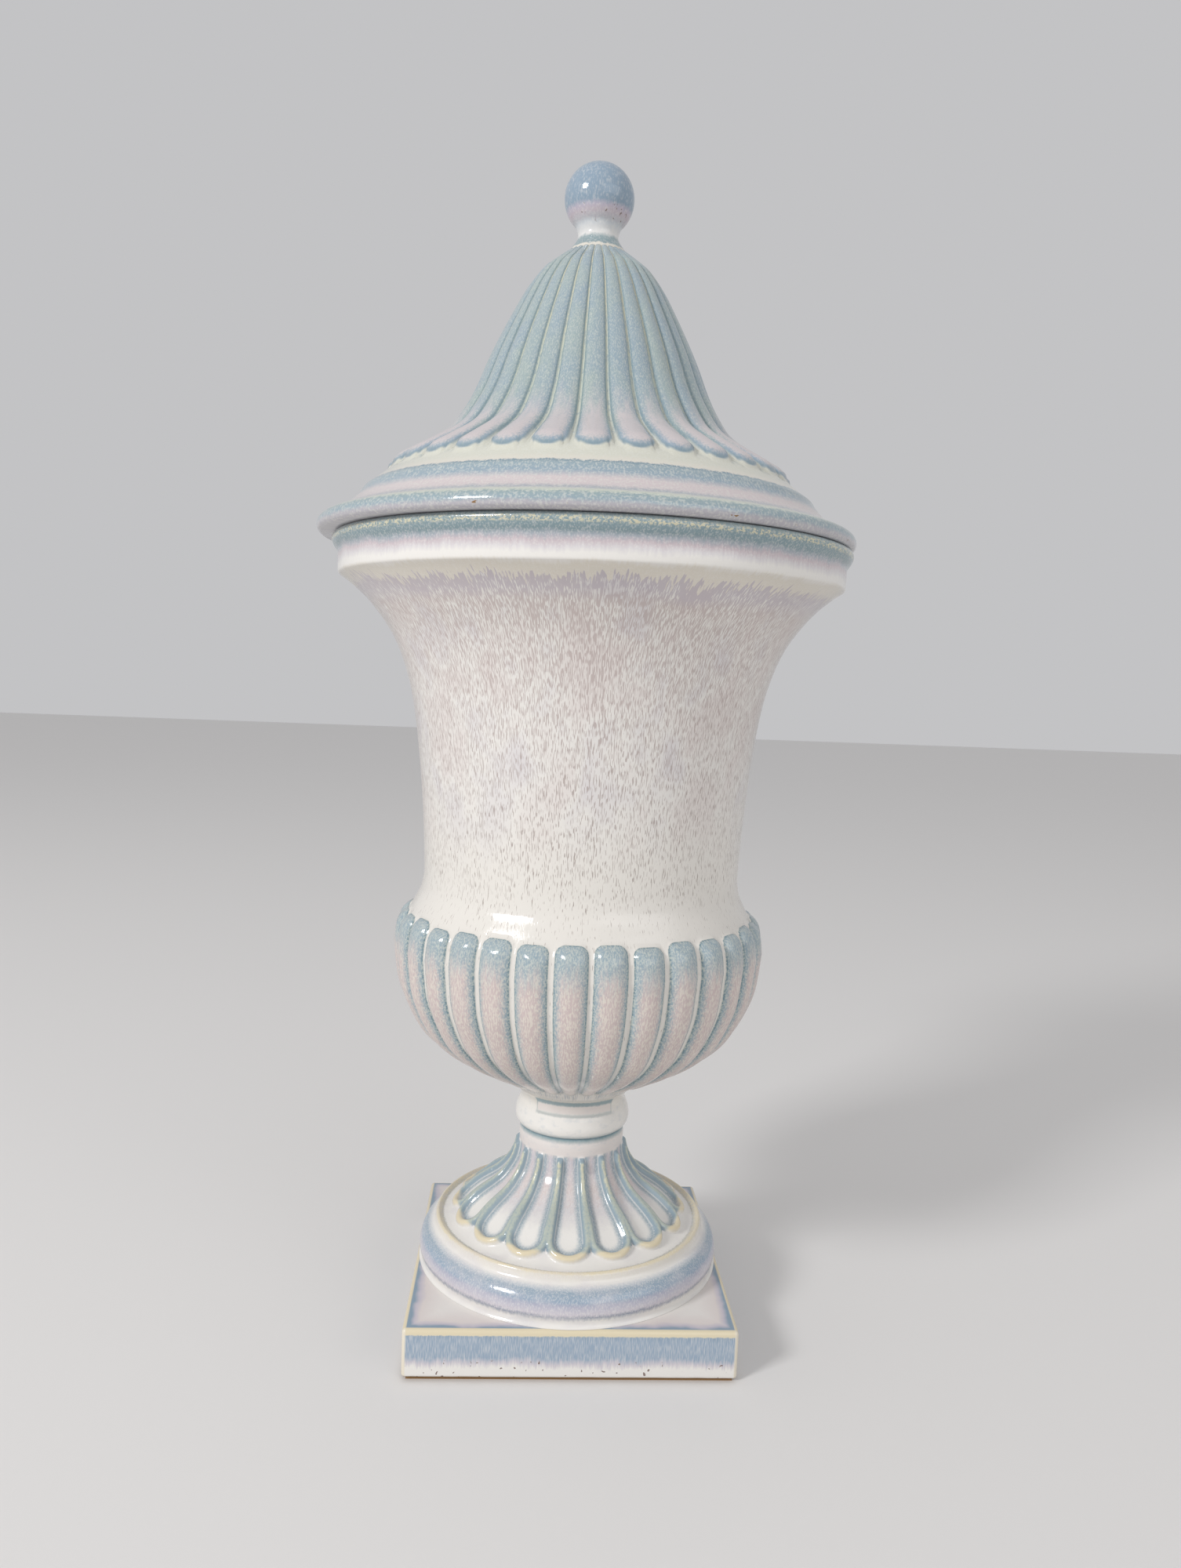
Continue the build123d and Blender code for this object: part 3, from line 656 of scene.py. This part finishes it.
def plinth_glaze(c):
    """Drip glaze on the plinth: blue sides run to white, yellow arrises, pink top, bare clay below."""
    # Glaze threads down the sides and pits near the foot; the bare clay under it is dull
    glaze, tree, shader, place = start_glaze("drip glaze on earthenware, plinth")
    flat = add(tree, VECTOR_MATH, {0: place}, operation="ABSOLUTE").outputs[0]
    spot = add(tree, "ShaderNodeSeparateXYZ", {0: flat})
    x, y, z = spot.outputs["X"], spot.outputs["Y"], spot.outputs["Z"]
    run = grain(tree, place, 1.0, 7.0, 3.0)
    fleck = grain(tree, place, 1.0, 1.0)
    cloud = grain(tree, place, 14.0, 14.0)
    outer = add(tree, MATH, {0: x, 1: y}, operation="MAXIMUM").outputs[0]
    lesser = add(tree, MATH, {0: x, 1: y}, operation="MINIMUM").outputs[0]

    sides = bands(tree, ragged(tree, ragged(tree, z, run, 5.0), cloud, 4.0), 0, 22, [
        (1.5, c.white), (5.6, c.white), (7.6, tint(c.white, c.lavender, 0.7)), (10, c.blue),
        (17, c.blue), (20, tint(c.blue, c.ink, 0.25))])
    thread = grain(tree, place, 0.32, 4.0, 1.0)
    streak = add(tree, RANGE, {0: thread, 1: 0.4, 2: 0.7, 4: 0.36}, **STEP).outputs[0]
    side = coats(tree, sides, [(c.white, streak)])
    gilt = tint(c.yellow, c.cream, 0.35)
    top = bands(tree, ragged(tree, outer, cloud, 6.0), 40, 68, [
        (44, c.white), (54, tint(c.white, c.pink, 0.2)), (61, tint(c.white, c.pink, 0.5)),
        (63.6, tint(c.white, c.lavender, 0.8)), (65.4, tint(c.blue, c.ink, 0.3))])
    on_top = add(tree, RANGE, {0: z, 1: 20.6, 2: 21.4}, **STEP).outputs[0]
    brink = ragged(tree, z, fleck, 1.2)
    upper = add(tree, RANGE, {0: brink, 1: 18.8, 2: 19.4}, **STEP).outputs[0]
    rim = add(tree, RANGE, {0: outer, 1: 65.6, 2: 66.2}, **STEP).outputs[0]
    arris = add(tree, MATH, {0: upper, 1: rim}, operation="MULTIPLY").outputs[0]
    corner = add(tree, RANGE, {0: lesser, 1: 65.6, 2: 66.4}, **STEP).outputs[0]
    bubble = grain(tree, place, 1.7, 1.7, 0.0)
    pit = add(tree, RANGE, {0: bubble, 1: 0.76, 2: 0.79}, **STEP).outputs[0]
    lower = add(tree, RANGE, {0: z, 1: 9.5, 2: 8.0}, **STEP).outputs[0]
    hole = add(tree, MATH, {0: pit, 1: lower}, operation="MULTIPLY").outputs[0]
    hem = ragged(tree, z, cloud, 0.8)
    bare = add(tree, RANGE, {0: hem, 1: 2.1, 2: 1.6}, **STEP).outputs[0]
    colour = coats(tree, side, [
        (c.brown, hole), (top, on_top), (gilt, arris), (tint(gilt, c.white, 0.4), corner),
        (c.clay, bare)])
    gloss = fire(tree, shader, colour, fleck)
    dulled = add(tree, RANGE, {0: bare, 3: gloss, 4: 0.8}).outputs[0]
    tree.links.new(dulled, shader.inputs["Roughness"])
    return glaze


def knob_glaze(c):
    """Drip glaze on the finial: blue cap, lavender chin partly painted shade, white neck, teal foot band."""
    # The ball gathers the room in one small highlight on an even, glossy blue
    glaze, tree, shader, place = start_glaze("drip glaze on earthenware, finial")
    z = add(tree, "ShaderNodeSeparateXYZ", {0: place}).outputs["Z"]
    run = grain(tree, place, 2.0, 6.0, 3.0)
    fleck = grain(tree, place, 1.2, 1.2)
    stipple = grain(tree, place, 0.8, 2.2)
    # The lavender chin under the ball is partly its glaze, partly painted shade where the ball's underside
    # is shaded
    ball = bands(tree, ragged(tree, z, run, 3.0), 456, 498, [
        (459, c.cream), (460.8, c.cream), (461.6, tint(c.teal, c.ink, 0.3)), (464.8, c.teal),
        (466.4, tint(c.white, c.blue, 0.15)), (469, tint(c.white, c.blue, 0.3)),
        (471, tint(c.white, c.blue, 0.5)), (474.2, tint(c.lavender, c.pink, 0.4)), (476, c.lavender),
        (478, tint(c.blue, c.ink, 0.25)), (498, tint(c.blue, c.ink, 0.2))])
    chin = bands(tree, z, 465, 485, [(470, 0.0), (472, 1.0), (476, 1.0), (478, 0.0)])
    grit = grain(tree, place, 1.7, 2.2)
    speck = add(tree, RANGE, {0: grit, 1: 0.64, 2: 0.7}, **STEP).outputs[0]
    spot = add(tree, MATH, {0: chin, 1: speck}, operation="MULTIPLY").outputs[0]
    pale = add(tree, RANGE, {0: stipple, 1: 0.45, 2: 0.75, 4: 0.35}, **STEP).outputs[0]
    fire(tree, shader, coats(tree, ball, [(c.white, pale), (c.brown, spot)]), fleck)
    return glaze


def hang_lamp(name, place, power, wide, high, aim):
    """Hangs a soft rectangular lamp that faces the urn's axis at a height."""
    bpy.ops.object.light_add(type="AREA", location=place)
    lamp = bpy.context.active_object
    lamp.name = name
    lamp.data.shape = "RECTANGLE"
    lamp.data.size = wide
    lamp.data.size_y = high
    lamp.data.energy = power
    lamp.data.spread = LAMP_SPREAD
    towards = Vector((0, 0, aim)) - lamp.location
    lamp.rotation_euler = towards.to_track_quat("-Z", "Y").to_euler()


def camera_hold(stage):
    """Place and turn of the camera from its heading, tilt and roll."""
    level = math.cos(stage.tilt)
    ahead = Vector((
        math.sin(stage.heading) * level, math.cos(stage.heading) * level, -math.sin(stage.tilt)))
    right = Vector((math.cos(stage.heading), -math.sin(stage.heading), 0))
    down = ahead.cross(right)
    leaned = right * math.cos(stage.roll) + down * math.sin(stage.roll)
    up = right * math.sin(stage.roll) - down * math.cos(stage.roll)
    hold = Matrix((leaned, up, -ahead)).transposed().to_4x4()
    hold.translation = stage.camera_place
    return hold


class URN_OT_plinth(bpy.types.Operator):
    """Square plinth with soft arrises on a narrower line of bare clay, hollow and open underneath"""

    bl_idname = "urn.plinth"
    bl_label = "Plinth"

    def execute(self, context):
        sizes = context.scene.urn_sizes
        side = sizes.plinth_side
        top = PLINTH_HIGH.z
        clay = sizes.clay_line
        setback = 0.2 * MM
        wall = 7.5 * MM
        slab = 8 * MM
        crease = math.radians(40)
        bpy.ops.object.select_all(action="DESELECT")
        bpy.ops.mesh.primitive_cube_add(size=1, location=(0, 0, (top + clay) / 2))
        piece = context.active_object
        piece.name = "plinth_glazed"
        piece.data.name = piece.name
        piece.scale = (side, side, top - clay)
        bpy.ops.object.transform_apply(location=True, rotation=True, scale=True)
        bpy.ops.object.mode_set(mode="EDIT")
        bpy.ops.mesh.select_mode(type="EDGE")
        bpy.ops.mesh.select_all(action="SELECT")
        bpy.ops.mesh.bevel(offset=sizes.plinth_arris, segments=4, affect="EDGES")
        pick_faces(piece, lambda face: face.normal.z < -0.99)
        bpy.ops.mesh.inset(thickness=setback)
        bpy.ops.mesh.extrude_region_move(TRANSFORM_OT_translate={"value": (0, 0, -clay)})
        bpy.ops.mesh.inset(thickness=wall)
        bpy.ops.mesh.extrude_region_move(TRANSFORM_OT_translate={"value": (0, 0, top - slab)})
        bpy.ops.object.mode_set(mode="OBJECT")
        bpy.ops.object.shade_smooth_by_angle(angle=crease)
        seat(piece, "plinth", "urn", plinth_glaze(context.scene.urn_glaze))
        return {"FINISHED"}


class URN_OT_pedestal(bpy.types.Operator):
    """Turned foot: torus, ridge ring, petalled bell, collar and neck"""

    bl_idname = "urn.pedestal"
    bl_label = "Pedestal"

    def execute(self, context):
        sizes = context.scene.urn_sizes
        foot = PLINTH_HIGH.z / MM
        top = PEDESTAL_HIGH.z / MM
        petal_turn = math.degrees(sizes.petal_turn)
        hollow = [(0.0, 93.0), (15.5, 93.0), (15.5, 71.0), (41.0, 37.0), (41.0, foot), (66.9, foot)]
        torus = smooth(
            [(66.9, foot), (65.9, 23.4), (66.8, 27.6), (65.6, 32.4), (63.2, 35.6), (60.8, 37.2)], 5)
        ridge = smooth([(60.2, 38.6), (59.7, 40.5), (58.7, 41.2), (57.7, 40.7), (56.6, 40.0)], 4)
        skirt = smooth(
            [(56.6, 40.0), (54.0, 40.6), (51.2, 42.0), (47.6, 44.6), (40.9, 50.6), (32.3, 56.6),
             (27.5, 62.0), (25.0, 66.3), (23.7, 70.4), (23.3, 74.0), (23.5, 78.4), (23.2, 82.2)], 8)
        collar = smooth(
            [(23.2, 82.2), (24.6, 83.5), (25.4, 85.6), (25.5, 87.8), (25.0, 90.4), (24.0, 93.0),
             (23.4, 95.2), (23.9, 97.4), (25.2, 99.2), (26.0, top)], 6)
        piece = turn_profile(
            "pedestal_petalled", hollow + torus[1:] + ridge + skirt[1:] + collar[1:] + [(0.0, top)],
            PEDESTAL_COLUMNS, 0.0, FRONT + petal_turn)
        radius, turn, height = polar(piece, 0.0)
        along = arc_length(skirt, height)
        skin = on_skin(skirt, radius, height)
        across, half = across_lobe(turn, radius, sizes.petals, petal_turn)

        petal_foot = 8.0
        petal_top = 75.0
        rib_fade, rib_end = 71.5, 74.8
        hollow_fade = 66.0
        rib_reach = 1.9
        tongue = half * sizes.tongue_share
        gap = np.minimum(half - tongue, rib_reach)
        depth = finger(across, along - petal_foot, tongue, tongue)
        rib = dome(np.clip(1 - np.abs(1 + depth / gap), 0, 1)) * (depth < 0) * skin
        rib *= 1 - ease(height, rib_fade, rib_end)
        hollowed = dome(depth / tongue) * skin * (1 - ease(height, hollow_fade, petal_top))

        tablet_low, tablet_high = 92.6, 98.6
        tablet_radius = 24.9
        tablet_rise = 1.5
        side_soft, out_soft, in_soft = 1.5, 0.4, 0.3
        bore = 20.0
        outside = radius > bore
        beside = math.degrees(sizes.tablet_angle) - np.abs(turn)
        slab = ease(beside, 0.0, side_soft) * ease(height, tablet_low - out_soft, tablet_low + in_soft)
        slab *= (1 - ease(height, tablet_high - in_soft, tablet_high + out_soft)) * outside
        levelled = np.clip(tablet_radius - radius, 0.0, tablet_rise) / tablet_rise
        inset = np.minimum(height - tablet_low, tablet_high - height)
        inset = np.minimum(np.radians(beside) * radius, inset)

        raise_relief(piece, "rib", rib, sizes.rib_height)
        raise_relief(piece, "tongue", hollowed, -sizes.tongue_depth)
        raise_relief(piece, "tablet", slab * levelled, tablet_rise * MM)
        keep(piece, "rib", rib)
        keep(piece, "depth", np.where(skin & (height < petal_top), depth, OFF_SKIN))
        keep(piece, "along", along)
        keep(piece, "tablet", np.where(outside, inset, OFF_SKIN))
        seat(piece, "pedestal", "urn", foot_glaze(context.scene.urn_glaze))
        return {"FINISHED"}


class URN_OT_body(bpy.types.Operator):
    """Gadrooned bowl, shoulder, flared neck and moulded rim, hollow to the floor of the bowl"""

    bl_idname = "urn.body"
    bl_label = "Body"

    def execute(self, context):
        sizes = context.scene.urn_sizes
        foot = PEDESTAL_HIGH.z / MM
        top = BODY_HIGH.z / MM
        lobe_turn = math.degrees(sizes.lobe_turn)
        widest = 165.6
        hollow_radius = 71.8
        stem = [(0.0, foot), (26.0, foot), (26.7, 101.4), (28.4, 103.9)]
        bowl = smooth(
            [(30.4, 105.7), (37.6, 108.5), (45.4, 112.9), (53.3, 117.6), (61.0, 123.5), (67.6, 130.5),
             (72.8, 140.0), (76.5, 150.5), (BOWL_RADIUS, widest)], 5)
        shoulder = smooth(
            [(BOWL_RADIUS, widest), (77.2, 173.6), (73.6, 181.4), (70.2, 188.6), (68.9, 195.5)], 6)
        neck = smooth(
            [(68.9, 195.5), (69.4, 209.0), (70.7, 229.0), (72.3, 245.7), (74.6, 263.7), (78.3, 280.8),
             (84.6, 296.6), (94.0, 309.6), (102.2, 317.3), (106.7, 320.5)], 4)
        rim = smooth(
            [(106.7, 320.5), (107.7, 321.3), (108.0, 323.0), (108.0, 328.4), (108.4, 330.4), (109.7, 332.4),
             (110.6, 334.6), (110.0, 336.5), (108.0, top)], 4)
        inside = smooth(
            [(98.0, top - 1.0), (98.0, 330.0), (97.0, 320.5), (86.0, 307.0), (77.5, 295.5), (69.5, 270.0),
             (65.7, 245.5), (63.2, 220.0), (62.4, 195.5), (68.0, 179.0), (hollow_radius, widest)], 2)
        floor = oval(widest, hollow_radius, 58.5, hollow_radius, 20.0, 10)
        piece = turn_profile(
            "urn_body_gadrooned",
            stem + bowl + shoulder[1:] + neck[1:] + rim[1:] + [(98.6, top)] + inside + floor[1:]
            + [(0.0, floor[-1][1])],
            BODY_COLUMNS, 0.0, FRONT + lobe_turn)
        radius, turn, height = polar(piece, 0.0)
        lobed = bowl + shoulder[1:]
        along = arc_length(lobed, height)
        skin = on_skin(lobed, radius, height)
        across, half = across_lobe(turn, radius, sizes.lobes, lobe_turn)
        uneven = hand(turn, sizes.lobes, lobe_turn)
        half = half * sizes.lobe_share * (1 + HAND_WIDTH * uneven)
        from_top = arc_length(lobed, sizes.lobe_top / MM) - along + HAND_HEIGHT * uneven
        depth = finger(across, from_top, half, LOBE_CORNER * half)
        lobe = dome(depth / half) * skin
        raise_relief(piece, "lobe", lobe ** LOBE_FULLNESS * radius / BOWL_RADIUS, sizes.lobe_height)
        keep(piece, "lobe", lobe)
        keep(piece, "depth", np.where(skin, depth, OFF_SKIN))
        keep(piece, "from_top", from_top)
        outer = stem[1:] + lobed + neck[1:] + rim[1:]
        keep(piece, "course", arc_length(outer, height))
        keep(piece, "inner", np.where(on_skin(outer, radius, height), 0.0, 1.0))
        seat(piece, "urn_body", "urn", body_glaze(context.scene.urn_glaze))
        return {"FINISHED"}


class URN_OT_lid(bpy.types.Operator):
    """Domed lid: rolled edge, cavetto, lip and reeded ogee, hollow, with a locating flange"""

    bl_idname = "urn.lid"
    bl_label = "Lid"

    def execute(self, context):
        sizes = context.scene.urn_sizes
        rest = BODY_HIGH.z / MM
        crown = LID_HIGH.z / MM
        reed_turn = math.degrees(sizes.reed_turn)
        under = smooth(
            [(0.0, crown - 9.0), (7.0, crown - 9.5), (25.8, 436.3), (38.0, 411.0), (51.4, 383.8),
             (76.0, 360.0), (87.5, rest + 7.0)], 2)
        flange = [(87.5, rest - 9.0), (93.0, rest - 9.0), (93.0, rest)]
        edge = smooth(
            [(112.2, rest), (113.6, 338.4), (114.0, 340.2), (113.3, 342.3), (111.4, 343.8),
             (109.6, 344.2)], 4)
        cavetto = smooth(
            [(109.6, 344.2), (108.8, 344.6), (105.6, 345.8), (102.2, 348.0), (98.8, 351.4), (96.6, 354.2),
             (95.9, 355.4), (95.2, 356.2)], 3)
        band = smooth([(95.2, 356.2), (91.0, 359.2), (REED_FOOT, 363.3)], 2)
        ogee = smooth(
            [(REED_FOOT, 363.3), (71.6, 372.3), (63.8, 377.4), (58.2, 382.7), (52.2, 392.0), (48.0, 400.6),
             (43.4, 412.4), (38.1, 424.2), (32.4, 435.8), (28.3, 443.4), (23.2, 450.6), (19.4, 454.2),
             (13.0, crown)], 5)
        piece = turn_profile(
            "lid_reeded", under + flange + edge + cavetto[1:] + band[1:] + ogee[1:] + [(0.0, crown)],
            LID_COLUMNS, LID_SHIFT, FRONT + reed_turn)
        radius, turn, height = polar(piece, LID_SHIFT)
        along = arc_length(ogee, height)
        skin = on_skin(ogee, radius, height)
        across, half = across_lobe(turn, radius, sizes.reeds, reed_turn)
        half = half * sizes.reed_share
        depth = finger(across, along, half, half)
        reed = dome(depth / half) * skin
        raise_relief(piece, "reed", reed * radius / REED_FOOT, sizes.reed_height)
        keep(piece, "reed", reed)
        keep(piece, "along", np.where(skin, along, OFF_REED))
        keep(piece, "depth", np.where(skin, depth, OFF_SKIN))
        keep(piece, "course", arc_length(edge + cavetto[1:] + band[1:] + ogee[1:], height))
        seat(piece, "lid", "lid", lid_glaze(context.scene.urn_glaze))
        return {"FINISHED"}


class URN_OT_finial(bpy.types.Operator):
    """Ball on a drawn-in neck"""

    bl_idname = "urn.finial"
    bl_label = "Finial"

    def execute(self, context):
        foot = LID_HIGH.z / MM
        ball_r = context.scene.urn_sizes.ball / MM
        middle = KNOB_HIGH.z / MM - ball_r
        neck = smooth(
            [(12.4, foot), (12.2, foot + 1.2), (11.0, foot + 3.0), (9.2, foot + 5.6), (8.6, foot + 8.2),
             (9.4, foot + 11.2)], 5)
        lowest, highest, steps = -48, 90, 40
        ball = []
        for step in range(steps + 1):
            angle = math.radians(lowest + (highest - lowest) * step / steps)
            ball.append((ball_r * math.cos(angle), middle + ball_r * math.sin(angle)))
        piece = turn_profile(
            "finial_ball", [(0.0, foot)] + neck + ball, KNOB_COLUMNS, LID_SHIFT, FRONT)
        seat(piece, "finial", "lid", knob_glaze(context.scene.urn_glaze))
        return {"FINISHED"}


class URN_OT_stage(bpy.types.Operator):
    """Plain pale floor, soft light and the camera"""

    bl_idname = "urn.stage"
    bl_label = "Stage"

    def execute(self, context):
        scene = context.scene
        stage = scene.urn_stage
        bpy.ops.object.select_all(action="DESELECT")
        bpy.ops.mesh.primitive_plane_add(size=FLOOR_SIDE, location=(0, 0, 0))
        floor = context.active_object
        floor.name = "floor"
        # Matt paint gives an even ground that shows the shadow and no mirror image
        paint = bpy.data.materials.new("matt floor paint")
        paint.use_nodes = True
        shader = paint.node_tree.nodes["Principled BSDF"]
        shader.inputs["Base Color"].default_value = stage.floor
        shader.inputs["Roughness"].default_value = 0.5
        floor.data.materials.append(paint)

        hang_lamp("window_light", stage.key_place, stage.key_power, wide=0.6, high=0.5, aim=0.26)
        hang_lamp("fill_light", stage.fill_place, stage.fill_power, wide=2.2, high=1.1, aim=0.25)
        world = scene.world or bpy.data.worlds.new("World")
        scene.world = world
        world.use_nodes = True
        background = world.node_tree.nodes["Background"]
        background.inputs["Color"].default_value = stage.sky
        background.inputs["Strength"].default_value = stage.sky_strength

        bpy.ops.object.camera_add()
        camera = context.active_object
        camera.name = "camera"
        camera.matrix_world = camera_hold(stage)
        camera.data.lens = stage.lens
        camera.data.sensor_width = FILM_LENGTH
        camera.data.clip_start = NEAREST_SEEN
        scene.camera = camera
        scene.view_settings.view_transform = "Standard"
        return {"FINISHED"}


class URN_PT_panel(bpy.types.Panel):
    """Lists the pieces of the urn and its stage"""

    bl_label = "Lidded urn"
    bl_idname = "URN_PT_panel"
    bl_space_type = "VIEW_3D"
    bl_region_type = "UI"
    bl_category = "Urn"

    def draw(self, context):
        for operator in OPERATORS:
            self.layout.operator(operator.bl_idname)


OPERATORS = (URN_OT_plinth, URN_OT_pedestal, URN_OT_body, URN_OT_lid, URN_OT_finial, URN_OT_stage)
CLASSES = (UrnSizes, UrnStage, UrnGlaze) + OPERATORS + (URN_PT_panel,)


def register():
    for made in CLASSES:
        bpy.utils.register_class(made)
    bpy.types.Scene.urn_sizes = bpy.props.PointerProperty(type=UrnSizes)
    bpy.types.Scene.urn_stage = bpy.props.PointerProperty(type=UrnStage)
    bpy.types.Scene.urn_glaze = bpy.props.PointerProperty(type=UrnGlaze)


def unregister():
    del bpy.types.Scene.urn_glaze
    del bpy.types.Scene.urn_stage
    del bpy.types.Scene.urn_sizes
    for made in reversed(CLASSES):
        bpy.utils.unregister_class(made)


def main():
    register()
    bpy.ops.urn.plinth()
    bpy.ops.urn.pedestal()
    bpy.ops.urn.body()
    bpy.ops.urn.lid()
    bpy.ops.urn.finial()
    bpy.ops.urn.stage()


if __name__ == "__main__":
    main()
